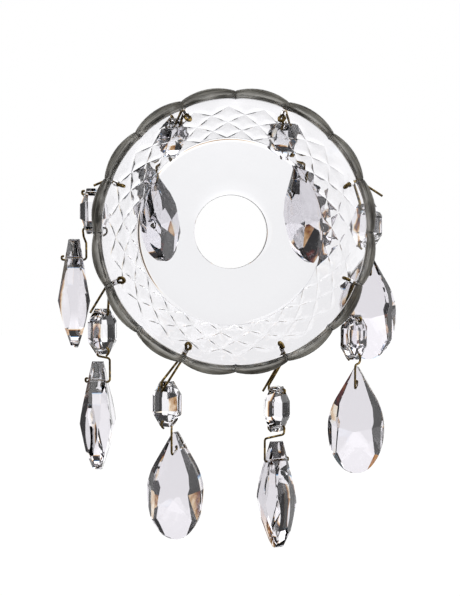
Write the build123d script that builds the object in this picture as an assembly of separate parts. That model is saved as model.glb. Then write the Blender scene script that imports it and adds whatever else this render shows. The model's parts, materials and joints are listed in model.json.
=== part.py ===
from build123d import *
import os
from dataclasses import dataclass
from math import atan2, cos, hypot, radians, sin, tan

# A crystal candle ring: a scalloped glass dish with eight wired crystal pendants.
# The dish's axis is Y and its open side faces -Y; the pendants hang down -Z.
# The origin is the centre of the candle bore. Lengths are in mm, angles in degrees.

# Dish
dish_depth = 19.0
floor_thickness = 3.2
bore_radius = 13.5
floor_radius = 33.7
mouth_radius = 47.5
wall_thickness = 3.4
rim_peak_radius = 51.6
rim_notch_radius = 50.2
lip_height = 3.0
lip_step = 0.3
edge_round = 0.9
corner_rounds = [0.3, 2.0, 0.6, edge_round, edge_round, 0.4, edge_round, 0.3]
scallops = 16

# Cut diamonds round the outside of the wall
diamonds = 22
diamond_rows = 4
lattice_phase = 10.5
lattice_start = 6.4
lattice_end = 18.4
groove_depth = 0.5
groove_half_width = 1.0
groove_clearance = 0.8

# Holes for the pins, drilled square to the wall
hole_inner_depth = 2.9
hole_radius = 1.0

# Brass wire pins
wire_radius = 0.4
wire_bend = 1.1
leg_offset = 0.43
eye_half_width = 1.1
eye_crown_half_width = 0.7
eye_waist = 0.9
eye_length = 2.6
eye_leg_start = 0.1
step_out_length = 1.7
approach_height = 2.4
face_gap = 1.0
curl_rise = 1.3
curl_return = 0.9
hook_drop = 1.7
hook_spread = 0.2
hook_end_drop = 2.7
hook_end_return = 1.2
leg_drop = 3.2
leg_lean = 0.4

# Octagon beads
bead_height = 16.4
bead_width = 10.6
bead_thickness = 8.0
bead_end_thickness = 3.2
bead_end_width = 3.8
bead_side_height = 7.0
bead_table_half_height = 2.7
bead_hole_to_end = 2.2
bead_side_slope = 42.0
bead_half_thickness_at_hole = 2.5
bead_to_wall = 0.5
wire_hole_radius = 0.5

# Crystal drops
drop_height = 39.4
drop_width = 20.6
drop_thickness = 12.0
drop_girdle = 4.4
drop_ridge = 23.2
drop_hole_to_tip = 7.5
drop_shoulder_radius = 24.0
drop_shoulder_angle = 29.5
drop_tip_round = 0.9
drop_half_thickness_at_hole = 3.43
bevel_facings = (drop_shoulder_angle, 16, 3, -7, -40, -72)
bevel_slope = 45.0
lower_side_tilt = 0.10
lower_side_slope = 0.235
lower_middle_slope = 0.262
lower_middle_half_width = 1.4

back_y = floor_thickness / 2
rim_y = back_y - dish_depth
floor_y = -floor_thickness / 2
wall_angle = atan2(mouth_radius - floor_radius, floor_y - rim_y)
bead_hole_span = bead_height - 2 * bead_hole_to_end
wide_z = drop_hole_to_tip - drop_ridge
up = Vector(0, 0, 1)


@dataclass
class Pendant:
    """One pendant at rest. A turn is the direction of a hole seen from above, from +X.

    The tail is where the upper pin's free end lies, from the outside of the dish's hole, and
    the neck is the height at which the lower pin turns down beside the drop.
    """

    hole_angle: float
    bead_turn: float
    drop_turn: float
    drop_hole: tuple
    tail: tuple
    bead_top: tuple = None
    slide: float = 0.0
    swing: float = 0.0
    drop_lean: float = 0.0
    neck: float = drop_hole_to_tip + 1.1


# Numbered clockwise from the upper right, as seen from the open side. The two top pendants
# have no bead_top: their beads lie along the back of the sloping wall, slide mm down it and
# swung a little to one side of straight down.
pendants = [
    Pendant(
        67.5, 0, 116, (28.4, 9.2, 19.2), (3.5, 5.5, -4.5), slide=11, swing=14, drop_lean=12, neck=7
    ),
    Pendant(22.5, 41.6, 90, (52.0, 0.0, -16.0), (11.0, 3.0, -5.0), (50.2, -6.4, 8.4)),
    Pendant(-22.5, -56, 72, (45.2, -12.1, -56.7), (-4.0, 5.0, -16.0), (44.1, -12.3, -32.3)),
    Pendant(-67.5, -41, 8, (15.8, -10.9, -84.0), (-6.9, 5.3, -14.6), (15.9, -10.9, -58.5)),
    Pendant(-112.5, 54, 70, (-21.4, -10.9, -79.9), (-8.3, -3.2, -13.2), (-24.3, -10.9, -56.0)),
    Pendant(-157.5, 127, 172, (-49.2, -8.6, -54.0), (-7.8, 2.0, -10.6), (-47.4, -9.4, -29.5)),
    Pendant(157.5, 171, 180, (-57.4, -4.8, -9.9), (-6.2, 0.5, -1.5), (-50.8, -5.6, 13.6), neck=6),
    Pendant(
        112.5, 0, 143, (-30.4, 8.0, 18.2), (-3.5, 5.5, -4.5), slide=10, swing=-6, drop_lean=25, neck=7
    ),
]


def flat_direction(turn):
    """A level unit vector, turned from +X about Z."""
    return Vector(cos(radians(turn)), sin(radians(turn)), 0)


def on_circle(radius, angle, y):
    """A point round the dish's axis."""
    return Vector(radius * cos(radians(angle)), y, radius * sin(radians(angle)))


def outer_radius(y):
    """The radius of the outside of the wall."""
    return mouth_radius + wall_thickness / cos(wall_angle) - tan(wall_angle) * (y - rim_y)


def wall_normal(angle):
    """The outward normal of the sloping wall."""
    return on_circle(cos(wall_angle), angle, sin(wall_angle))


def hole_mouths(angle):
    """The centres of a pin hole's two mouths, inside and outside."""
    inner_radius = mouth_radius - tan(wall_angle) * hole_inner_depth
    inside = on_circle(inner_radius, angle, rim_y + hole_inner_depth)
    return inside, inside + wall_normal(angle) * wall_thickness


# ---- Dish -------------------------------------------------------------------------------


def dish_profile():
    """The half section, with the distance from the axis along X."""
    lip_y = rim_y + lip_height
    step_y = lip_y + lip_step
    outline = FilletPolyline(
        (bore_radius, floor_y),
        (floor_radius, floor_y),
        (mouth_radius, rim_y),
        (rim_peak_radius, rim_y),
        (rim_peak_radius, lip_y),
        (outer_radius(step_y), step_y),
        (outer_radius(back_y), back_y),
        (bore_radius, back_y),
        radius=corner_rounds,
        close=True,
    )
    return make_face(outline)


def scalloped_blank():
    """A prism whose outline is the rim's ring of shallow lobes."""
    step = 360 / scallops
    lobes = []
    for number in range(scallops):
        first = on_circle(rim_notch_radius, number * step, 0)
        peak = on_circle(rim_peak_radius, (number + 0.5) * step, 0)
        last = on_circle(rim_notch_radius, (number + 1) * step, 0)
        lobes.append(ThreePointArc(first, peak, last))
    outline = make_face(Wire(lobes))
    prism = extrude(outline, amount=dish_depth, both=True, dir=(0, 1, 0))
    return prism


def lattice_node(row, column):
    """A crossing of the diamond grooves, on the outside of the wall."""
    y = rim_y + lattice_end + (lattice_start - lattice_end) * row / diamond_rows
    angle = lattice_phase + (column + row / 2) * 360 / diamonds
    return on_circle(outer_radius(y), angle, y), angle


def groove(start, end, angle):
    """A straight V groove between two points on the wall."""
    normal = wall_normal(angle)
    direction = (end - start).normalized()
    frame = Plane(origin=start, x_dir=normal - direction * normal.dot(direction), z_dir=direction)
    high = groove_clearance
    flare = groove_half_width * (high + groove_depth) / groove_depth
    section = Polyline((-groove_depth, 0), (high, flare), (high, -flare), close=True)
    return extrude(frame * make_face(section), amount=(end - start).length, dir=direction)


def diamond_grooves():
    """Every groove of the lattice, one short run between neighbouring crossings at a time."""
    cuts = []
    for row in range(diamond_rows):
        for column in range(diamonds):
            start, angle = lattice_node(row, column)
            for side in (0, -1):
                end, end_angle = lattice_node(row + 1, column + side)
                cuts.append(groove(start, end, (angle + end_angle) / 2))
    return cuts


def pin_holes():
    """The eight holes in the wall."""
    cuts = []
    for pendant in pendants:
        inside, outside = hole_mouths(pendant.hole_angle)
        normal = wall_normal(pendant.hole_angle)
        frame = Plane(origin=inside - normal * wall_thickness / 2, z_dir=normal)
        cuts.append(extrude(frame * Circle(hole_radius), amount=wall_thickness * 2))
    return cuts


def glass_dish():
    """The dish, turned, scalloped, cut with diamonds and drilled."""
    dish = revolve(dish_profile(), axis=Axis.Y)
    dish = dish & scalloped_blank()
    return dish - (diamond_grooves() + pin_holes())


# ---- Cut crystals -----------------------------------------------------------------------
# A crystal is drawn round the centre of its top hole: X is its width, Y its thickness and
# the hole's direction, and Z points up.


def cut_facet(solid, point, normal):
    """The solid without what stands in front of a facet."""
    return split(solid, bisect_by=Plane(origin=point, z_dir=normal), keep=Keep.BOTTOM)


def cut_both_faces(solid, facets):
    """The solid with every facet cut on its front and on its back."""
    for point, normal in facets:
        for side in (1, -1):
            here = Vector(point.X, point.Y * side, point.Z)
            outward = Vector(normal.X, normal.Y * side, normal.Z)
            solid = cut_facet(solid, here, outward)
    return solid


def drill(solid, z):
    """The solid with a wire hole through its thickness."""
    frame = Plane(origin=(0, -drop_thickness, z), z_dir=(0, 1, 0))
    return solid - extrude(frame * Circle(wire_hole_radius), amount=2 * drop_thickness)


def bead_facets():
    """The facets of one face of a bead: two end slopes, two sides and four corners."""
    middle = bead_hole_to_end - bead_height / 2
    half_end = bead_end_thickness / 2
    rise = (bead_thickness - bead_end_thickness) / 2
    run = bead_height / 2 - bead_table_half_height
    slope, level = sin(radians(bead_side_slope)), cos(radians(bead_side_slope))
    corner_angle = atan2(
        (bead_width - bead_end_width) / 2, (bead_height - bead_side_height) / 2
    )
    facets = []
    for way in (1, -1):
        end = Vector(0, half_end, middle + way * bead_height / 2)
        facets.append((end, Vector(0, run, way * rise)))
        side = Vector(way * bead_width / 2, half_end, middle)
        facets.append((side, Vector(way * slope, level, 0)))
        for upward in (1, -1):
            corner = Vector(way * bead_end_width / 2, half_end, middle + upward * bead_height / 2)
            across = Vector(way * cos(corner_angle), 0, upward * sin(corner_angle))
            facets.append((corner, across * slope + Vector(0, level, 0)))
    return facets


def octagon_bead():
    """A long octagon with a hole near each end."""
    middle = bead_hole_to_end - bead_height / 2
    half_width, half_end = bead_width / 2, bead_end_width / 2
    corners = []
    for x, z in (
        (half_end, bead_height / 2),
        (half_width, bead_side_height / 2),
        (half_width, -bead_side_height / 2),
        (half_end, -bead_height / 2),
    ):
        corners.append((x, 0, middle + z))
    corners += [(-x, y, z) for x, y, z in reversed(corners)]
    outline = make_face(Polyline(*corners, close=True))
    blank = extrude(outline, amount=bead_thickness / 2, both=True, dir=(0, 1, 0))
    bead = cut_both_faces(blank, bead_facets())
    return drill(drill(bead, 0), -bead_hole_span)


def drop_outline():
    """The pear outline: straight from the tip, a shoulder arc, and half an ellipse below."""
    half_width = drop_width / 2
    turn = radians(drop_shoulder_angle)
    shoulder = Vector(
        half_width - drop_shoulder_radius * (1 - cos(turn)),
        0,
        wide_z + drop_shoulder_radius * sin(turn),
    )
    middle = Vector(
        half_width - drop_shoulder_radius * (1 - cos(turn / 2)),
        0,
        wide_z + drop_shoulder_radius * sin(turn / 2),
    )
    tip = Vector(0, 0, drop_hole_to_tip)
    side = Vector(
        drop_tip_round * cos(turn),
        0,
        drop_hole_to_tip - drop_tip_round * (1 - sin(turn)),
    )

    def mirror_point(point):
        return Vector(-point.X, point.Y, point.Z)

    edge = Vector(half_width, 0, wide_z)
    bottom = EllipticalCenterArc(
        (0, 0), half_width, drop_height - drop_ridge, start_angle=180, arc_size=180
    )
    bottom = Plane(origin=(0, 0, wide_z), x_dir=(1, 0, 0), z_dir=(0, -1, 0)) * bottom
    pieces = [
        bottom,
        ThreePointArc(edge, middle, shoulder),
        Line(shoulder, side),
        ThreePointArc(side, tip, mirror_point(side)),
        Line(mirror_point(side), mirror_point(shoulder)),
        ThreePointArc(mirror_point(shoulder), mirror_point(middle), mirror_point(edge)),
    ]
    return make_face(Wire(pieces))


def drop_bevels():
    """The side facets of one face: each touches the girdle where the outline faces its way."""
    half_width = drop_width / 2
    lower_height = drop_height - drop_ridge
    half_girdle = drop_girdle / 2
    facets = []
    for facing in bevel_facings:
        angle = radians(facing)
        if facing > 0:
            x = half_width - drop_shoulder_radius * (1 - cos(angle))
            z = wide_z + drop_shoulder_radius * sin(angle)
        else:
            reach = hypot(half_width * cos(angle), lower_height * sin(angle))
            x = half_width**2 * cos(angle) / reach
            z = wide_z + lower_height**2 * sin(angle) / reach
        for way in (1, -1):
            outward = Vector(way * cos(angle), 0, sin(angle)) * cos(radians(bevel_slope))
            normal = outward + Vector(0, sin(radians(bevel_slope)), 0)
            facets.append((Vector(way * x, half_girdle, z), normal))
    return facets


def drop_facets():
    """The facets of one face of a drop: the long upper face, three lower faces, the bevels."""
    half_thickness = drop_thickness / 2
    rise = (drop_thickness - drop_girdle) / 2
    ridge = Vector(0, half_thickness, wide_z)
    facets = [(ridge, Vector(0, drop_ridge, rise))]
    facets.append((ridge, Vector(0, 1, -lower_middle_slope)))
    for way in (1, -1):
        start = Vector(way * lower_middle_half_width, half_thickness, wide_z)
        facets.append((start, Vector(way * lower_side_tilt, 1, -lower_side_slope)))
    return facets + drop_bevels()


def crystal_drop():
    """A pear-shaped drop with a hole near its tip."""
    blank = extrude(drop_outline(), amount=drop_thickness, both=True, dir=(0, 1, 0))
    return drill(cut_both_faces(blank, drop_facets()), 0)


# ---- Where each pendant hangs -----------------------------------------------------------


def crystal_frame(origin, hole_direction, upward):
    """The place of a crystal, from its top hole, that hole's direction and its long axis."""
    return Plane(origin=origin, x_dir=hole_direction.cross(upward), z_dir=upward)


def bead_place(pendant):
    """The top hole, hole direction and upward direction of a bead."""
    if pendant.bead_top:
        return Vector(*pendant.bead_top), flat_direction(pendant.bead_turn), up
    normal = wall_normal(pendant.hole_angle)
    downhill = (normal * normal.Z - up).normalized()
    downhill = downhill.rotate(Axis((0, 0, 0), normal), pendant.swing)
    outside = hole_mouths(pendant.hole_angle)[1]
    stand_off = bead_thickness / 2 + bead_to_wall
    return outside + normal * stand_off + downhill * pendant.slide, normal, -downhill


def drop_place(pendant):
    """The hole, hole direction and upward direction of a drop."""
    direction = flat_direction(pendant.drop_turn)
    back = Vector(direction.Y, -direction.X, 0)
    if back.Y < 0:
        back = -back
    lean = radians(pendant.drop_lean)
    return Vector(*pendant.drop_hole), direction, up * cos(lean) - back * sin(lean)


# ---- Wire pins --------------------------------------------------------------------------


def bend_radii(points):
    """A bend for each corner, no larger than its two runs allow."""
    radii = []
    for before, corner, after in zip(points, points[1:], points[2:]):
        turn = radians((corner - before).get_angle(after - corner))
        shorter = min((corner - before).length, (after - corner).length)
        radii.append(min(wire_bend, 0.45 * shorter / tan(turn / 2)))
    return radii


def bent_wire(points):
    """A round wire along straight runs and tangent bends."""
    path = FilletPolyline(*points, radius=bend_radii(points))
    section = Plane(origin=path @ 0, z_dir=path % 0) * Circle(wire_radius)
    return sweep(section, path=path)


def eye_points(inside, normal, sideways):
    """The doubled wire's eye in the bowl, from one leg round to the other."""
    places = (
        (-leg_offset, eye_leg_start),
        (-eye_half_width, -eye_waist),
        (-eye_crown_half_width, -eye_length),
        (eye_crown_half_width, -eye_length),
        (eye_half_width, -eye_waist),
        (leg_offset, eye_leg_start),
    )
    return [inside + sideways * across + normal * along for across, along in places]


def upper_pin(pendant):
    """From the free tail, through the wall to the eye and back, then through the bead."""
    inside, outside = hole_mouths(pendant.hole_angle)
    normal = wall_normal(pendant.hole_angle)
    top, direction, upward = bead_place(pendant)
    reach = bead_half_thickness_at_hole + face_gap
    near = top - direction * reach
    far = top + direction * reach
    approach = near + upward * approach_height
    tail = Vector(*pendant.tail)
    apart = (approach - outside).normalized() - tail.normalized()
    sideways = (apart - normal * apart.dot(normal)).normalized()
    step_out = outside + normal * step_out_length
    points = [outside + tail, step_out - sideways * leg_offset]
    points += eye_points(inside, normal, sideways)
    points += [step_out + sideways * leg_offset, approach, near, far]
    points += [far + upward * curl_rise, far + upward * curl_rise - direction * curl_return]
    return bent_wire(points)


def lower_pin(pendant):
    """From the hook under the bead, through its bottom hole, down and through the drop."""
    top, bead_direction, bead_up = bead_place(pendant)
    bottom = top - bead_up * bead_hole_span
    hole, drop_direction, drop_up = drop_place(pendant)
    reach = bead_half_thickness_at_hole + face_gap
    drop_reach = drop_half_thickness_at_hole + face_gap
    near = hole - drop_direction * drop_reach
    far = hole + drop_direction * drop_reach
    hook = bottom - bead_direction * reach
    points = [
        hook + bead_direction * hook_end_return - bead_up * hook_end_drop,
        hook - bead_direction * hook_spread - bead_up * hook_drop,
        hook,
        bottom + bead_direction * reach,
        bottom + bead_direction * (reach - leg_lean) - bead_up * leg_drop,
        near + drop_up * pendant.neck,
        near,
        far,
        far + drop_up * curl_rise,
        far + drop_up * curl_rise - drop_direction * curl_return,
    ]
    return bent_wire(points)


# ---- Assembly ---------------------------------------------------------------------------


def build_nodes():
    """Every named piece, in its place."""
    bead = octagon_bead()
    drop = crystal_drop()
    nodes = {"glass_dish": glass_dish()}
    for number, pendant in enumerate(pendants, start=1):
        nodes[f"upper_pin_{number}"] = upper_pin(pendant)
        nodes[f"octagon_bead_{number}"] = crystal_frame(*bead_place(pendant)) * bead
        nodes[f"lower_pin_{number}"] = lower_pin(pendant)
        nodes[f"crystal_drop_{number}"] = crystal_frame(*drop_place(pendant)) * drop
    return nodes


def main():
    """Writes one STEP file for each piece."""
    os.makedirs("parts", exist_ok=True)
    for name, shape in build_nodes().items():
        export_step(shape, f"parts/{name}.step")


if __name__ == "__main__":
    main()
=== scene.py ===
import bmesh
import bpy
import json
import random
from math import acos, atan2, cos, hypot, pi, radians, sin, sqrt, tan
from mathutils import Matrix, Vector


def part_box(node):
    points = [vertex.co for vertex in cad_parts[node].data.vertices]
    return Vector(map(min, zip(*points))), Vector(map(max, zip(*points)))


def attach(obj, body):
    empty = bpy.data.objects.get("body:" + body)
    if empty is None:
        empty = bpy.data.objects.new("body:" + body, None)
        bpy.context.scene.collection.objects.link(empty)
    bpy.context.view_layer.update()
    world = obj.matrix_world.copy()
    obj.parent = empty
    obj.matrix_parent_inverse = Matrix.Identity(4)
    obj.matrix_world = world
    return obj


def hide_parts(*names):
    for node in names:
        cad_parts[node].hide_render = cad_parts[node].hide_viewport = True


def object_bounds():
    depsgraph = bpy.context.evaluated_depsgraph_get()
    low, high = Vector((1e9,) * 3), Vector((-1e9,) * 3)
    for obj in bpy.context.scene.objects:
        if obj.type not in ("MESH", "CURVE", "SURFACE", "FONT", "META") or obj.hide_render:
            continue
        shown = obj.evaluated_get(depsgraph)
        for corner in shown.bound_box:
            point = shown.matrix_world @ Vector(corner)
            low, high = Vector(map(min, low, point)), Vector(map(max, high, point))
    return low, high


# Looks for a crystal candle ring: a scalloped glass dish, beads and drops on bent wire pins.
# Shapes are drawn in mm and become metres when a mesh is made. Angles are in degrees.

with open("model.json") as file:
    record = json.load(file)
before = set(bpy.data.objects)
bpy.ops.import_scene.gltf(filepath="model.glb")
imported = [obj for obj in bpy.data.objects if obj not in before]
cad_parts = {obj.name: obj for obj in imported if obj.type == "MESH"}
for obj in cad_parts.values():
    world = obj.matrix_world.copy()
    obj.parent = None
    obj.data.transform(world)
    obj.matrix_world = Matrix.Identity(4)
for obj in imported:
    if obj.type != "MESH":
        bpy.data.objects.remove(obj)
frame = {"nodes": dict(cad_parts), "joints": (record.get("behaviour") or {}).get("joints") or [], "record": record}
cad_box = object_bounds()
joints = {joint["name"]: joint for joint in frame["joints"]}
mm = 0.001

# Dish
bore_radius = frame["record"]["mounts"][0]["dims"]["r_mm"]
floor_thickness = 3.2
rim_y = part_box("glass_dish")[0].y / mm
back_y = floor_thickness / 2
floor_y = -floor_thickness / 2
floor_radius = 33.7
mouth_radius = 47.5
wall_thickness = 3.4
wall_angle = atan2(mouth_radius - floor_radius, floor_y - rim_y)
lip_height = 3.0
lip_step = 0.3
edge_round = 0.9
back_round = 1.6
floor_bend_round = 2.0
mouth_round = 0.6
bore_edge_round = 0.3
scallops = 16
rim_peak_radius = 51.6
rim_notch_radius = 50.2
mouth_lobe_share = 0.25
nick_depth = 0.35
nick_half_angle = 0.45
hole_radius = 1.0

# Cut diamonds
diamonds = 22
diamond_rows = 4
lattice_phase = 10.5
lattice_start = 6.4
lattice_end = 18.4
lattice_margin = 0.22
plain_band = 1.2
groove_depth = 0.34
groove_share = 0.17
groove_end_share = 0.2

# Crystals
bead_height, bead_width, bead_thickness = 16.4, 10.6, 8.0
bead_end_thickness, bead_end_width, bead_side_height = 3.2, 3.8, 7.0
bead_table_half_height = 2.7
bead_hole_to_end = 2.2
bead_side_slope = 42.0
drop_height, drop_width, drop_thickness = 39.4, 20.6, 12.0
drop_girdle, drop_ridge, drop_hole_to_tip = 4.4, 23.2, 7.5
drop_shoulder_radius, drop_shoulder_angle = 24.0, 29.5
drop_tip_round = 0.9
wide_z = drop_hole_to_tip - drop_ridge
bevel_facings = (drop_shoulder_angle, 16, 3, -7, -40, -72)
bevel_slope = 45.0
lower_bevel_depth = 0.9
lower_side_tilt, lower_side_slope = 0.10, 0.215
lower_middle_slope, lower_middle_half_width = 0.295, 0.6
facet_unevenness = 0.012
facet_edge_angle = 18
bead_edge_bevel, drop_edge_bevel = 0.12, 0.14
wire_hole_radius = 0.5

# Wire pins
wire_skin = 0.03
eye_swell = 0.16
eye_start = 0.2
eye_blend = 0.6

# Glass and its tints
pressed_glass_ior, crystal_ior = 1.52, 1.55
floor_tint, wall_tint = (0.866, 0.866, 0.884, 1), (0.83, 0.825, 0.845, 1)
bead_tint, drop_tint = (0.90, 0.89, 0.92, 1), (0.74, 0.72, 0.76, 1)
speck_tint, seed_tint = (0.55, 0.54, 0.52, 1), (0.42, 0.41, 0.40, 1)
# The rim's dark grey is painted shade, and its paler streaks are painted highlights, over its ground, streaked
# glass.
rim_shade_dark, rim_highlight_pale = (0.050, 0.046, 0.038, 1), (0.33, 0.32, 0.28, 1)

# Studio
panel_fade = 3
fringes = (0.45, 0.0, -0.45)
faint_light = 0.06
camera_azimuth, camera_elevation, camera_distance = -6, 4, 0.45
camera_lens = 76.1
aim_left, aim_below = 0.0020, 0.0233
floor_half_side, floor_drop = 2.0, 0.12


# ---- Node helpers -----------------------------------------------------------------------


class Graph:
    """Short names for adding and wiring shader nodes."""

    def __init__(self, tree):
        self.tree = tree
        self.tree.nodes.clear()

    def add(self, kind, **settings):
        """A node of a kind. Settings are its properties, or values for its sockets."""
        node = self.tree.nodes.new("ShaderNode" + kind)
        for key, value in settings.items():
            if hasattr(node, key):
                setattr(node, key, value)
            else:
                self.feed(node.inputs[key.replace("_", " ")], value)
        return node

    def feed(self, socket, value):
        """A value or another node's output, into a socket."""
        if isinstance(value, bpy.types.NodeSocket):
            self.tree.links.new(value, socket)
        else:
            socket.default_value = value

    def math(self, operation, *values):
        """The output of a Math node."""
        node = self.tree.nodes.new("ShaderNodeMath")
        node.operation = operation
        for socket, value in zip(node.inputs, values):
            self.feed(socket, value)
        return node.outputs[0]

    def smooth(self, value, low, high, start=0.0, end=1.0):
        """A smooth step from start to end, as value goes from low to high."""
        node = self.tree.nodes.new("ShaderNodeMapRange")
        node.interpolation_type = "SMOOTHSTEP"
        for socket, given in zip(node.inputs, (value, low, high, start, end)):
            self.feed(socket, given)
        return node.outputs[0]

    def noise(self, place, scale, detail=3.0, roughness=0.5):
        """The grey output of a noise texture, with scale in features for each metre."""
        node = self.add("TexNoise", Vector=place, Scale=scale, Detail=detail, Roughness=roughness)
        return node.outputs["Fac"]

    def mix(self, share, first, second):
        """A colour between two others."""
        node = self.add("Mix", data_type="RGBA")
        for socket, value in zip((node.inputs[0], node.inputs[6], node.inputs[7]), (share, first, second)):
            self.feed(socket, value)
        return node.outputs[2]

    def bump(self, height, strength, distance, below=None):
        """A bumped normal."""
        node = self.add("Bump", Height=height, Strength=strength, Distance=distance)
        if below:
            self.feed(node.inputs["Normal"], below)
        return node.outputs[0]


def new_material(name):
    """An empty node material and its graph."""
    material = bpy.data.materials.new(name)
    material.use_nodes = True
    return material, Graph(material.node_tree)


# ---- Studio -----------------------------------------------------------------------------


def bright_window(g, around, height, window, fringe):
    """The light of one window of directions round the object, which fades at its edges."""
    centre, half_width, low, high, brightness = window
    fade = panel_fade
    away = g.math("SUBTRACT", around, radians(centre))
    away = g.math("ABSOLUTE", g.math("WRAP", away, pi, -pi))
    light = g.smooth(away, radians(half_width + fringe), radians(half_width + fringe + fade), 1, 0)
    above = g.smooth(height, radians(low - fade + fringe), radians(low + fringe), 0, 1)
    below = g.smooth(height, radians(high + fringe), radians(high + fade + fringe), 1, 0)
    light = g.math("MULTIPLY", light, g.math("MULTIPLY", above, below))
    return g.math("MULTIPLY", light, brightness)


def make_world():
    """A white sweep for the eye, with dark gaps beside and above it for the glass to bend in."""
    world = bpy.data.worlds.new("studio")
    bpy.context.scene.world = world
    world.use_nodes = True
    g = Graph(world.node_tree)
    direction = g.add("TexCoord").outputs["Generated"]
    x, y, z = g.add("SeparateXYZ", Vector=direction).outputs
    around = g.math("ARCTAN2", g.math("MULTIPLY", x, -1.0), y)
    height = g.math("ARCSINE", z)
    # Azimuth, half width, lowest and highest elevation, and brightness of each bright panel.
    panels = (
        (-7, 17, -43, 17, 1.04), (-97, 56, -43, 45, 1.08), (46, 13, -43, 21, 1.04),
        (90, 15, -43, 21, 1.04), (-10, 61, 36, 76, 1.6), (150, 26, 33, 65, 1.8),
    )
    upward = g.smooth(height, radians(-1), radians(12), 1.0, 1.25)
    channels = []
    for fringe in fringes:
        light = 0.0
        for panel in panels:
            light = g.math("MAXIMUM", light, bright_window(g, around, height, panel, fringe))
        light = g.math("MULTIPLY", light, upward)
        channels.append(g.math("ADD", light, faint_light))
    colour = g.add("CombineColor", Red=channels[0], Green=channels[1], Blue=channels[2])
    seen = g.add("LightPath").outputs["Is Camera Ray"]
    light = g.mix(seen, colour.outputs[0], (1, 1, 1, 1))
    background = g.add("Background", Color=light, Strength=1.0)
    g.feed(g.add("OutputWorld").inputs[0], background.outputs[0])


def make_camera():
    """The camera, in front of the dish and a little to its left, above the level of its axis."""
    azimuth, elevation = radians(camera_azimuth), radians(camera_elevation)
    bore = Vector(frame["record"]["mounts"][0]["pos_m"])
    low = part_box("glass_dish")[0]
    aim = Vector((bore.x - aim_left, low.y, bore.z - aim_below))
    back = Vector((sin(azimuth) * cos(elevation), -cos(azimuth) * cos(elevation), sin(elevation)))
    data = bpy.data.cameras.new("camera")
    data.lens = camera_lens
    data.clip_start = 0.01
    camera = bpy.data.objects.new("camera", data)
    camera.location = aim + back * camera_distance
    camera.rotation_euler = (-back).to_track_quat("-Z", "Y").to_euler()
    bpy.context.scene.collection.objects.link(camera)
    bpy.context.scene.camera = camera


def make_floor():
    """A plain white floor, well below the drops. The glass bends light from the studio alone."""
    material, g = new_material("floor_white")
    shader = g.add("BsdfPrincipled", Roughness=1.0, Emission_Strength=1.0)
    shader.inputs["Base Color"].default_value = (0, 0, 0, 1)
    shader.inputs["Emission Color"].default_value = (1, 1, 1, 1)
    g.feed(g.add("OutputMaterial").inputs[0], shader.outputs[0])
    side, level = floor_half_side, cad_box[0].z - floor_drop
    corners = [(-side, -side, level), (side, -side, level), (side, side, level), (-side, side, level)]
    mesh = bpy.data.meshes.new("floor")
    mesh.from_pydata(corners, [], [(0, 1, 2, 3)])
    mesh.materials.append(material)
    floor = bpy.data.objects.new("floor", mesh)
    floor.visible_transmission = floor.visible_glossy = floor.visible_diffuse = False
    bpy.context.scene.collection.objects.link(floor)


# ---- Mesh helpers -----------------------------------------------------------------------


def add_piece(name, mesh, body, replaced):
    """A new object that stands for a CAD node and rides on its body."""
    piece = bpy.data.objects.new(name, mesh)
    bpy.context.scene.collection.objects.link(piece)
    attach(piece, body)
    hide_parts(replaced)


def without(mesh, cutter):
    """A mesh with another mesh's volume taken out of it."""
    scene = bpy.context.scene
    body = bpy.data.objects.new("body", mesh)
    tool = bpy.data.objects.new("tool", cutter)
    scene.collection.objects.link(body)
    scene.collection.objects.link(tool)
    cut = body.modifiers.new("cut", "BOOLEAN")
    cut.operation, cut.object, cut.solver = "DIFFERENCE", tool, "EXACT"
    bpy.context.view_layer.update()
    graph = bpy.context.evaluated_depsgraph_get()
    made = bpy.data.meshes.new_from_object(body.evaluated_get(graph))
    bpy.data.objects.remove(body)
    bpy.data.objects.remove(tool)
    return made


def coat(mesh, material):
    """Gives a mesh one material."""
    mesh.materials.clear()
    mesh.materials.append(material)


def shade(mesh, sharp_angle):
    """Smooth shading, apart from edges that turn by more than an angle."""
    work = bmesh.new()
    work.from_mesh(mesh)
    for face in work.faces:
        face.smooth = True
    for edge in work.edges:
        edge.smooth = edge.calc_face_angle(0) < radians(sharp_angle)
    work.to_mesh(mesh)
    work.free()


def rods(places, radius, sides):
    """Closed round rods, each from one point to another."""
    work = bmesh.new()
    for start, end in places:
        along = end - start
        turn = along.to_track_quat("Z", "Y").to_matrix().to_4x4()
        where = Matrix.Translation((start + end) / 2) @ turn
        bmesh.ops.create_cone(
            work, cap_ends=True, segments=sides, radius1=radius, radius2=radius,
            depth=along.length, matrix=where,
        )
    mesh = bpy.data.meshes.new("rods")
    work.to_mesh(mesh)
    work.free()
    return mesh


# ---- Dish -------------------------------------------------------------------------------


def on_circle(radius, angle, y):
    """A point round the dish's axis."""
    return Vector((radius * cos(radians(angle)), y, radius * sin(radians(angle))))


def wall_radius(y):
    """The radius of the outside of the wall."""
    return mouth_radius + wall_thickness / cos(wall_angle) - tan(wall_angle) * (y - rim_y)


def wall_normal(angle):
    """The outward normal of the sloping wall."""
    return on_circle(cos(wall_angle), angle, sin(wall_angle))


def scallop_angles():
    """Where the rim is sampled: close beside each notch, and evenly along each lobe."""
    step = 360 / scallops
    lobe = [0.0, nick_half_angle] + [step * k / 10 for k in range(1, 10)] + [step - nick_half_angle]
    return [number * step + angle for number in range(scallops) for angle in lobe]


def rim_radius(angle):
    """The radius of the scalloped outline."""
    half_step = 180 / scallops
    across = rim_notch_radius * sin(radians(half_step))
    rise = rim_peak_radius - rim_notch_radius * cos(radians(half_step))
    lobe = (across**2 + rise**2) / (2 * rise)
    centre = rim_peak_radius - lobe
    turn = radians(angle % (2 * half_step) - half_step)
    return centre * cos(turn) + sqrt(lobe**2 - (centre * sin(turn)) ** 2)


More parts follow.
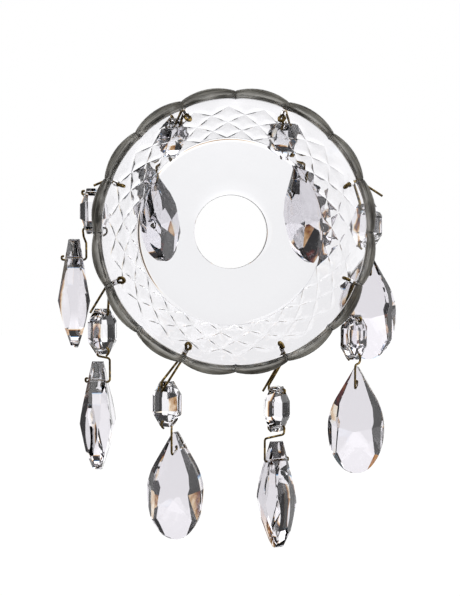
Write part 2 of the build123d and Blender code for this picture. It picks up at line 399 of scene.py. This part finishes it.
def rounded(corner, into, out, radius, steps):
    """Points along a round corner, from its incoming to its outgoing direction."""
    into, out = Vector(into).normalized(), Vector(out).normalized()
    turn = acos(max(-1, min(1, into.dot(out))))
    reach = radius * tan(turn / 2)
    side = 1 if into.x * out.y - into.y * out.x > 0 else -1
    normal = Vector((-into.y, into.x)) * side
    centre = Vector(corner) - into * reach + normal * radius
    points = []
    for k in range(steps + 1):
        angle = turn * k / steps
        points.append(centre - normal * radius * cos(angle) + into * radius * sin(angle))
    return [(p.x, p.y) for p in points]


def inner_profile():
    """Radius and y from the back of the bore, over the floor and up to the rim's top."""
    slope = (sin(wall_angle), -cos(wall_angle))
    rows = rounded((bore_radius, floor_y), (0, -1), (1, 0), bore_edge_round, 3)
    rows += [(radius, floor_y) for radius in (16, 20, 25, 29.5)]
    rows += rounded((floor_radius, floor_y), (1, 0), slope, floor_bend_round, 6)
    for share in (0.15, 0.35, 0.55, 0.75, 0.9):
        radius = floor_radius + (mouth_radius - floor_radius) * share
        rows.append((radius, floor_y + (rim_y - floor_y) * share))
    rows += rounded((mouth_radius, rim_y), slope, (1, 0), mouth_round, 4)
    return rows


class DishBuilder:
    """Collects the dish's rings of vertices and the faces between them."""

    def __init__(self):
        self.work = bmesh.new()

    def ring(self, angles, place):
        """Vertices at some angles. place gives each one's position from its angle."""
        return [(angle, self.work.verts.new(place(angle))) for angle in angles]

    def face(self, *corners):
        """A face, without any corner that is given twice."""
        kept = [v for k, v in enumerate(corners) if v is not corners[k - 1]]
        if len(kept) > 2:
            self.work.faces.new(kept)

    def bridge(self, first, second):
        """Quads between two rings with the same angles."""
        count = len(first)
        for k in range(count):
            n = (k + 1) % count
            self.face(first[k][1], first[n][1], second[n][1], second[k][1])

    def knit(self, first, second):
        """Triangles between two rings whose angles differ."""
        first, second = sorted(first, key=self.key), sorted(second, key=self.key)
        i = j = 0
        while i < len(first) or j < len(second):
            a, b = first[i % len(first)][1], second[j % len(second)][1]
            if self.after(first, i) <= self.after(second, j):
                self.face(a, first[(i + 1) % len(first)][1], b)
                i += 1
            else:
                self.face(a, second[(j + 1) % len(second)][1], b)
                j += 1

    def after(self, ring, index):
        """The angle of the vertex after one. Past the end it is a full turn, and then two."""
        if index + 1 < len(ring):
            return self.key(ring[index + 1])
        return 720 if index >= len(ring) else 360

    @staticmethod
    def key(entry):
        """A vertex's angle, from 0 to 360."""
        return entry[0] % 360


def lobed(row, share):
    """A place that follows the scallops by a share of their depth."""
    radius, y = row

    def place(angle):
        return on_circle(radius + (rim_radius(angle) - rim_peak_radius) * share, angle, y)

    return place


def lip_rows():
    """Offsets in from the scalloped outline, and y, round the rim from its top to its back."""
    lip_y = rim_y + lip_height
    top = [(-3.1, rim_y), (-2.0, rim_y)]
    front = rounded((0, rim_y), (1, 0), (0, 1), edge_round, 5)
    back = rounded((0, lip_y), (0, 1), (-1, 0), edge_round, 5)
    return top + front + back


def nicked(row):
    """A place on the rim, dipped where a nick crosses it at each notch."""
    offset, y = row

    def place(angle):
        step = 360 / scallops
        at_notch = min(angle % step, step - angle % step) < 0.1
        dip = nick_depth if at_notch else 0.0
        point = on_circle(rim_radius(angle) + offset - dip * (y > rim_y + edge_round / 2), angle, y)
        if at_notch and y < rim_y + edge_round:
            point.y += dip
        return point

    return place


def lattice_steps():
    """Where a diamond is divided: its groove edges and its flat middle."""
    return (0.0, groove_share, 0.35, 0.5, 0.65, 1 - groove_share)


def groove_swell(place):
    """How wide and deep a groove is along one diamond's side: full at its middle."""
    return groove_end_share + (1 - groove_end_share) * sin(pi * place)


def squeezed(place, along):
    """A place across a diamond, with its groove edge drawn in as the groove narrows."""
    if 0 < place <= groove_share:
        return groove_share * groove_swell(along)
    if place >= 1 - groove_share:
        return 1 - groove_share * groove_swell(along)
    return place


def lattice_vertex(a_index, b_index):
    """The angle and position of a vertex of the diamond lattice."""
    steps = lattice_steps()
    a_nominal, b_nominal = steps[a_index % len(steps)], steps[b_index % len(steps)]
    a_part, b_part = squeezed(a_nominal, b_nominal), squeezed(b_nominal, a_nominal)
    a, b = a_index // len(steps) + a_part, b_index // len(steps) + b_part
    row, column = a - b, (a + b) / 2
    angle = lattice_phase + column * 360 / diamonds
    y = rim_y + lattice_end + (lattice_start - lattice_end) * row / diamond_rows
    depth = 0.0
    if a_nominal == 0 or b_nominal == 0:
        depth = groove_depth * groove_swell(max(a_part, b_part))
    return angle, on_circle(wall_radius(y), angle, y) - wall_normal(angle) * depth


def lattice(build):
    """The band of cut diamonds. Returns its rings nearest the back and nearest the rim."""
    per_cell = len(lattice_steps())
    around, up = diamonds * per_cell, diamond_rows * per_cell
    grid = {}
    for b in range(around):
        for k in range(up + 1):
            angle, point = lattice_vertex(b + k, b)
            grid[b, k] = (angle, build.work.verts.new(point))
    for b in range(around):
        n = (b + 1) % around
        build.face(grid[b, 0][1], grid[b, 1][1], grid[n, 0][1])
        build.face(grid[b, up][1], grid[n, up][1], grid[n, up - 1][1])
        for k in range(1, up):
            corners = [grid[b, k][1], grid[b, k + 1][1], grid[n, k][1], grid[n, k - 1][1]]
            a_part, b_part = (b + k) % per_cell, b % per_cell
            ends = (0, per_cell - 1)
            if a_part in ends and b_part in ends:
                if a_part != b_part:
                    corners = corners[1:] + corners[:1]
                build.face(corners[0], corners[1], corners[2])
                build.face(corners[0], corners[2], corners[3])
            else:
                build.face(*corners)
    return [grid[b, 0] for b in range(around)], [grid[b, up] for b in range(around)]


def dish_shell():
    """The dish as one closed shell, before its pin holes."""
    build = DishBuilder()
    angles = scallop_angles()
    rings = []
    rows = inner_profile()
    for number, row in enumerate(rows):
        at_mouth = number >= len(rows) - 5
        rings.append(build.ring(angles, lobed(row, mouth_lobe_share if at_mouth else 0.0)))
    for row in lip_rows():
        rings.append(build.ring(angles, nicked(row)))
    step_y = rim_y + lip_height + lip_step
    for y in (step_y, step_y + 0.7, rim_y + lattice_start - plain_band):
        rings.append(build.ring(angles, lambda angle, y=y: on_circle(wall_radius(y), angle, y)))
    for first, second in zip(rings, rings[1:]):
        build.bridge(first, second)

    low, high = lattice(build)
    high_y = rim_y + lattice_start - lattice_margin
    low_y = rim_y + lattice_end + lattice_margin
    high_edge = build.ring([a for a, v in high], lambda a: on_circle(wall_radius(high_y), a, high_y))
    build.bridge(high_edge, high)
    build.knit(rings[-1], high_edge)

    low_angles = [a for a, v in low]
    below = [low, build.ring(low_angles, lambda a: on_circle(wall_radius(low_y), a, low_y))]
    slope = (-sin(wall_angle), cos(wall_angle))
    for row in rounded((wall_radius(back_y), back_y), slope, (-1, 0), back_round, 8):
        below.append(build.ring(low_angles, lambda a, row=row: on_circle(row[0], a, row[1])))
    for first, second in zip(below, below[1:]):
        build.bridge(first, second)

    back = [(radius, back_y) for radius in (31.0, 26.0, 20.0)]
    back += rounded((bore_radius, back_y), (-1, 0), (0, -1), bore_edge_round, 3)
    back_rings = [build.ring(angles, lobed(row, 0.0)) for row in back]
    build.knit(below[-1], back_rings[0])
    for first, second in zip(back_rings, back_rings[1:]):
        build.bridge(first, second)
    build.bridge(back_rings[-1], rings[0])
    bmesh.ops.recalc_face_normals(build.work, faces=build.work.faces)
    bmesh.ops.scale(build.work, vec=(mm, mm, mm), verts=build.work.verts)
    mesh = bpy.data.meshes.new("dish")
    build.work.to_mesh(mesh)
    build.work.free()
    return mesh


def pin_holes():
    """Rods along the eight holes, from the joints that turn in them."""
    places = []
    for name, joint in joints.items():
        if name.startswith("pin_swivel"):
            middle, normal = Vector(joint["pos_m"]), Vector(joint["axis"])
            reach = normal * wall_thickness * mm
            places.append((middle - reach, middle + reach))
    return rods(places, hole_radius * mm, 24)


def make_dish(glass):
    """The finished dish."""
    mesh = without(dish_shell(), pin_holes())
    shade(mesh, 20)
    coat(mesh, glass)
    add_piece("cut_glass_dish", mesh, "dish", "glass_dish")


# ---- Crystals ---------------------------------------------------------------------------


def block(outline, half_depth):
    """A closed block: an outline of x and z, carried to both sides along Y."""
    work = bmesh.new()
    front = [work.verts.new((x, -half_depth, z)) for x, z in outline]
    back = [work.verts.new((x, half_depth, z)) for x, z in outline]
    work.faces.new(front)
    work.faces.new(reversed(back))
    for k in range(len(outline)):
        work.faces.new((front[k - 1], back[k - 1], back[k], front[k]))
    bmesh.ops.recalc_face_normals(work, faces=work.faces)
    return work


def cut_facet(work, point, normal):
    """Takes away what stands in front of a facet's plane."""
    geometry = work.verts[:] + work.edges[:] + work.faces[:]
    made = bmesh.ops.bisect_plane(
        work, geom=geometry, dist=1e-5, plane_co=point, plane_no=normal, clear_outer=True
    )
    edges = [part for part in made["geom_cut"] if isinstance(part, bmesh.types.BMEdge)]
    if edges:
        bmesh.ops.holes_fill(work, edges=edges)


def cut_crystal(outline, half_depth, facets, edge_bevel, chance):
    """A crystal with each facet cut on both faces, a little unevenly, and its edges polished."""
    work = block(outline, half_depth)
    for point, normal in facets:
        for side in (1, -1):
            here = Vector((point[0], point[1] * side, point[2]))
            outward = Vector((normal[0], normal[1] * side, normal[2])).normalized()
            uneven = Vector([chance.uniform(-1, 1) for axis in "xyz"]) * facet_unevenness
            cut_facet(work, here, outward + uneven)
    sharp = [edge for edge in work.edges if edge.calc_face_angle(0) > radians(facet_edge_angle)]
    bmesh.ops.bevel(
        work, geom=sharp, offset=edge_bevel, segments=2, profile=0.5, affect="EDGES", clamp_overlap=True
    )
    for face in work.faces:
        face.smooth = abs(face.normal.y) < 0.05
    bmesh.ops.scale(work, vec=(mm, mm, mm), verts=work.verts)
    mesh = bpy.data.meshes.new("crystal")
    work.to_mesh(mesh)
    work.free()
    return mesh


def bead_outline():
    """The bead's octagon."""
    middle = bead_hole_to_end - bead_height / 2
    half_end, half_width = bead_end_width / 2, bead_width / 2
    right = [
        (half_end, bead_height / 2), (half_width, bead_side_height / 2),
        (half_width, -bead_side_height / 2), (half_end, -bead_height / 2),
    ]
    corners = right + [(-x, z) for x, z in reversed(right)]
    return [(x, middle + z) for x, z in corners]


def bead_facets():
    """The facets of one face of a bead: two end slopes, two sides and four corners."""
    middle = bead_hole_to_end - bead_height / 2
    half_end = bead_end_thickness / 2
    rise = (bead_thickness - bead_end_thickness) / 2
    run = bead_height / 2 - bead_table_half_height
    slope, level = sin(radians(bead_side_slope)), cos(radians(bead_side_slope))
    corner = atan2((bead_width - bead_end_width) / 2, (bead_height - bead_side_height) / 2)
    facets = []
    for way in (1, -1):
        facets.append(((0, half_end, middle + way * bead_height / 2), (0, run, way * rise)))
        facets.append(((way * bead_width / 2, half_end, middle), (way * slope, level, 0)))
        for upward in (1, -1):
            place = (way * bead_end_width / 2, half_end, middle + upward * bead_height / 2)
            across = (way * cos(corner) * slope, level, upward * sin(corner) * slope)
            facets.append((place, across))
    return facets


def drop_edge(facing):
    """The x and z where the drop's outline faces an angle above level."""
    angle, half_width = radians(facing), drop_width / 2
    if facing > 0:
        lead = drop_shoulder_radius * (1 - cos(angle))
        return half_width - lead, wide_z + drop_shoulder_radius * sin(angle)
    lower_height = drop_height - drop_ridge
    reach = hypot(half_width * cos(angle), lower_height * sin(angle))
    return half_width**2 * cos(angle) / reach, wide_z + lower_height**2 * sin(angle) / reach


def drop_outline():
    """The pear outline: a round tip, straight sides, a shoulder and a rounded bottom."""
    facings = [drop_shoulder_angle * k / 6 for k in range(6, 0, -1)] + [-5 * k for k in range(18)]
    right = []
    for facing in (75, 60, 45, drop_shoulder_angle):
        x = drop_tip_round * cos(radians(facing))
        right.append((x, drop_hole_to_tip - drop_tip_round * (1 - sin(radians(facing)))))
    right += [drop_edge(facing) for facing in facings]
    top, bottom = (0, drop_hole_to_tip), (0, wide_z - drop_height + drop_ridge)
    return [top] + right + [bottom] + [(-x, z) for x, z in reversed(right)]


def drop_facets():
    """The facets of one face of a drop: the long upper face, three lower faces, the bevels."""
    half_thickness = drop_thickness / 2
    rise = (drop_thickness - drop_girdle) / 2
    ridge = (0, half_thickness, wide_z)
    facets = [(ridge, (0, drop_ridge, rise)), (ridge, (0, 1, -lower_middle_slope))]
    for way in (1, -1):
        start = (way * lower_middle_half_width, half_thickness, wide_z)
        facets.append((start, (way * lower_side_tilt, 1, -lower_side_slope)))
    slope, level = cos(radians(bevel_slope)), sin(radians(bevel_slope))
    for facing in bevel_facings:
        x, z = drop_edge(facing)
        out, rise = cos(radians(facing)) * slope, sin(radians(facing)) * slope
        start = drop_girdle / 2 - (lower_bevel_depth if facing < 0 else 0)
        for way in (1, -1):
            facets.append(((way * x, start, z), (way * out, level, rise)))
    return facets


def surface_centre(node):
    """The middle of a node's surface."""
    faces = node.data.polygons
    total = sum(face.area for face in faces)
    return sum((face.center * face.area for face in faces), Vector()) / total


def hang(kind, mesh, joint_kind, number):
    """A crystal set on its wire: its hole on the joint, and its length as the CAD node lies."""
    node_name = f"{kind}_{number}"
    joint = joints[f"{joint_kind}_{number}"]
    hole, across = Vector(joint["pos_m"]), Vector(joint["axis"]).normalized()
    up = (hole - surface_centre(frame["nodes"][node_name])).normalized()
    side = across.cross(up).normalized()
    across = up.cross(side)
    turn = Matrix((side, across, up)).transposed().to_4x4()
    mesh.transform(Matrix.Translation(hole) @ turn)
    add_piece(f"cut_{node_name}", mesh, node_name, node_name)


def make_crystals(bead_glass, drop_glass):
    """The eight beads and eight drops."""
    reach = drop_thickness * mm
    top_hole = (Vector((0, -reach, 0)), Vector((0, reach, 0)))
    low = Vector((0, 0, 2 * bead_hole_to_end - bead_height)) * mm
    low_hole = (top_hole[0] + low, top_hole[1] + low)
    for number in range(1, 9):
        chance = random.Random(number)
        bead = cut_crystal(bead_outline(), bead_thickness / 2, bead_facets(), bead_edge_bevel, chance)
        bead = without(bead, rods([top_hole, low_hole], wire_hole_radius * mm, 20))
        drop = cut_crystal(drop_outline(), drop_thickness, drop_facets(), drop_edge_bevel, chance)
        drop = without(drop, rods([top_hole], wire_hole_radius * mm, 20))
        coat(bead, bead_glass)
        coat(drop, drop_glass)
        hang("octagon_bead", bead, "bead_swing", number)
        hang("crystal_drop", drop, "drop_swing", number)


# ---- Wire pins --------------------------------------------------------------------------


def wire_copy(node):
    """A CAD pin's mesh with its seams joined."""
    mesh = node.data.copy()
    work = bmesh.new()
    work.from_mesh(mesh)
    bmesh.ops.remove_doubles(work, verts=work.verts, dist=1e-7)
    for face in work.faces:
        face.smooth = True
    work.to_mesh(mesh)
    work.free()
    return mesh


def thicken_eye(mesh, joint):
    """Gives a pin a thin skin, and thickens its eye inside the dish's wall."""
    middle, normal = Vector(joint["pos_m"]), Vector(joint["axis"]).normalized()
    if normal.dot(middle) < 0:
        normal = -normal
    start = (wall_thickness / 2 + eye_start) * mm
    normals = [vertex.normal.copy() for vertex in mesh.vertices]
    for vertex, outward in zip(mesh.vertices, normals):
        inward = (vertex.co - middle).dot(-normal) - start
        share = max(0.0, min(1.0, inward / (eye_blend * mm)))
        vertex.co += outward * (wire_skin + eye_swell * share) * mm


def make_pins(metal):
    """The eight upper pins and eight lower pins."""
    for number in range(1, 9):
        for kind in ("upper_pin", "lower_pin"):
            node_name = f"{kind}_{number}"
            mesh = wire_copy(frame["nodes"][node_name])
            if kind == "upper_pin":
                thicken_eye(mesh, joints[f"pin_swivel_{number}"])
            coat(mesh, metal)
            add_piece(f"brass_{node_name}", mesh, node_name, node_name)


# ---- Materials --------------------------------------------------------------------------


def dish_glass():
    """Clear pressed glass, ground and streaked on the rim, with faint ripples and specks. The rim's colour is
    painted shade, dark grey, with paler streaks of painted highlight.
    """
    material, g = new_material("dish_glass")
    place = g.add("TexCoord").outputs["Object"]
    x, y, z = g.add("SeparateXYZ", Vector=place).outputs
    radius = g.math("SQRT", g.math("ADD", g.math("MULTIPLY", x, x), g.math("MULTIPLY", z, z)))
    shallow = g.smooth(y, (rim_y + lip_height) * mm, (rim_y + lip_height + lip_step) * mm, 1, 0)
    wide = g.smooth(radius, (mouth_radius - 0.3) * mm, (mouth_radius + 0.3) * mm, 0, 1)
    rim = g.math("MULTIPLY", shallow, wide)

    around = g.math("ARCTAN2", x, z)
    along = g.add("CombineXYZ", X=g.math("MULTIPLY", around, 0.0012), Y=y, Z=radius).outputs[0]
    streaks = g.noise(along, 1500, 4.0, 0.65)
    patches = g.noise(place, 140, 2.0)
    streaks = g.math("ADD", g.math("MULTIPLY", streaks, 0.75), g.math("MULTIPLY", patches, 0.25))
    # Painted shade and highlight on the rim: dark grey, with paler streaks along it.
    rim_shade_and_highlight = g.mix(g.smooth(streaks, 0.40, 0.62), rim_shade_dark, rim_highlight_pale)

    cells = g.add("TexVoronoi", Vector=place, Scale=260.0)
    speck = g.smooth(cells.outputs["Distance"], 0.02, 0.05, 1, 0)
    chosen = g.smooth(g.add("SeparateColor", Color=cells.outputs["Color"]).outputs[0], 0.86, 0.88)
    speck = g.math("MULTIPLY", speck, chosen)
    slanted = g.smooth(radius, (floor_radius - 8) * mm, (floor_radius + 8) * mm, 0, 1)
    clear = g.mix(slanted, floor_tint, wall_tint)
    clear = g.mix(speck, clear, speck_tint)

    shader = g.add("BsdfPrincipled", IOR=pressed_glass_ior)
    g.feed(shader.inputs["Base Color"], g.mix(rim, clear, rim_shade_and_highlight))
    g.feed(shader.inputs["Transmission Weight"], g.math("MULTIPLY_ADD", rim, -0.35, 1.0))
    g.feed(shader.inputs["Roughness"], g.math("MULTIPLY", rim, 0.38))
    ripple = g.bump(g.noise(place, 60, 2.0), 0.12, 0.002)
    g.feed(shader.inputs["Normal"], g.bump(g.math("MULTIPLY", streaks, rim), 0.5, 0.0002, ripple))
    g.feed(g.add("OutputMaterial").inputs[0], shader.outputs[0])
    return material


def clear_crystal(name, tint):
    """Cut crystal: a faint tint, slow waves in its faces, rare seeds and a little bloom."""
    material, g = new_material(name)
    place = g.add("TexCoord").outputs["Object"]
    cells = g.add("TexVoronoi", Vector=place, Scale=420.0)
    seed = g.smooth(cells.outputs["Distance"], 0.03, 0.07, 1, 0)
    chosen = g.smooth(g.add("SeparateColor", Color=cells.outputs["Color"]).outputs[0], 0.90, 0.92)
    bloom = g.smooth(g.noise(place, 260, 3.0, 0.6), 0.55, 0.75)
    colour = g.mix(g.math("MULTIPLY", seed, chosen), tint, seed_tint)
    shader = g.add("BsdfPrincipled", IOR=crystal_ior)
    shader.inputs["Transmission Weight"].default_value = 1
    g.feed(shader.inputs["Base Color"], colour)
    g.feed(shader.inputs["Roughness"], g.math("MULTIPLY", bloom, 0.04))
    g.feed(shader.inputs["Normal"], g.bump(g.noise(place, 110, 2.0), 0.10, 0.001))
    g.feed(g.add("OutputMaterial").inputs[0], shader.outputs[0])
    return material


def aged_brass():
    """Brass wire gone brown, worn back to gold in streaks, with fine drawing lines."""
    material, g = new_material("aged_brass")
    place = g.add("TexCoord").outputs["Object"]
    wear = g.smooth(g.noise(place, 700, 4.0, 0.6), 0.48, 0.62)
    grain = g.noise(place, 5000, 2.0)
    tone = g.math("MULTIPLY_ADD", grain, 0.3, g.math("MULTIPLY", wear, 0.8))
    colour = g.mix(tone, (0.075, 0.050, 0.020, 1), (0.46, 0.32, 0.11, 1))
    shader = g.add("BsdfPrincipled", Metallic=1.0)
    g.feed(shader.inputs["Base Color"], colour)
    g.feed(shader.inputs["Roughness"], g.math("MULTIPLY_ADD", wear, -0.25, 0.55))
    g.feed(shader.inputs["Normal"], g.bump(grain, 0.35, 0.0001))
    g.feed(g.add("OutputMaterial").inputs[0], shader.outputs[0])
    return material


# ---- Scene ------------------------------------------------------------------------------

make_world()
make_camera()
make_floor()
make_pins(aged_brass())
make_dish(dish_glass())
bead_glass = clear_crystal("bead_crystal", bead_tint)
drop_glass = clear_crystal("drop_crystal", drop_tint)
make_crystals(bead_glass, drop_glass)

bpy.context.scene.view_settings.view_transform = "Standard"
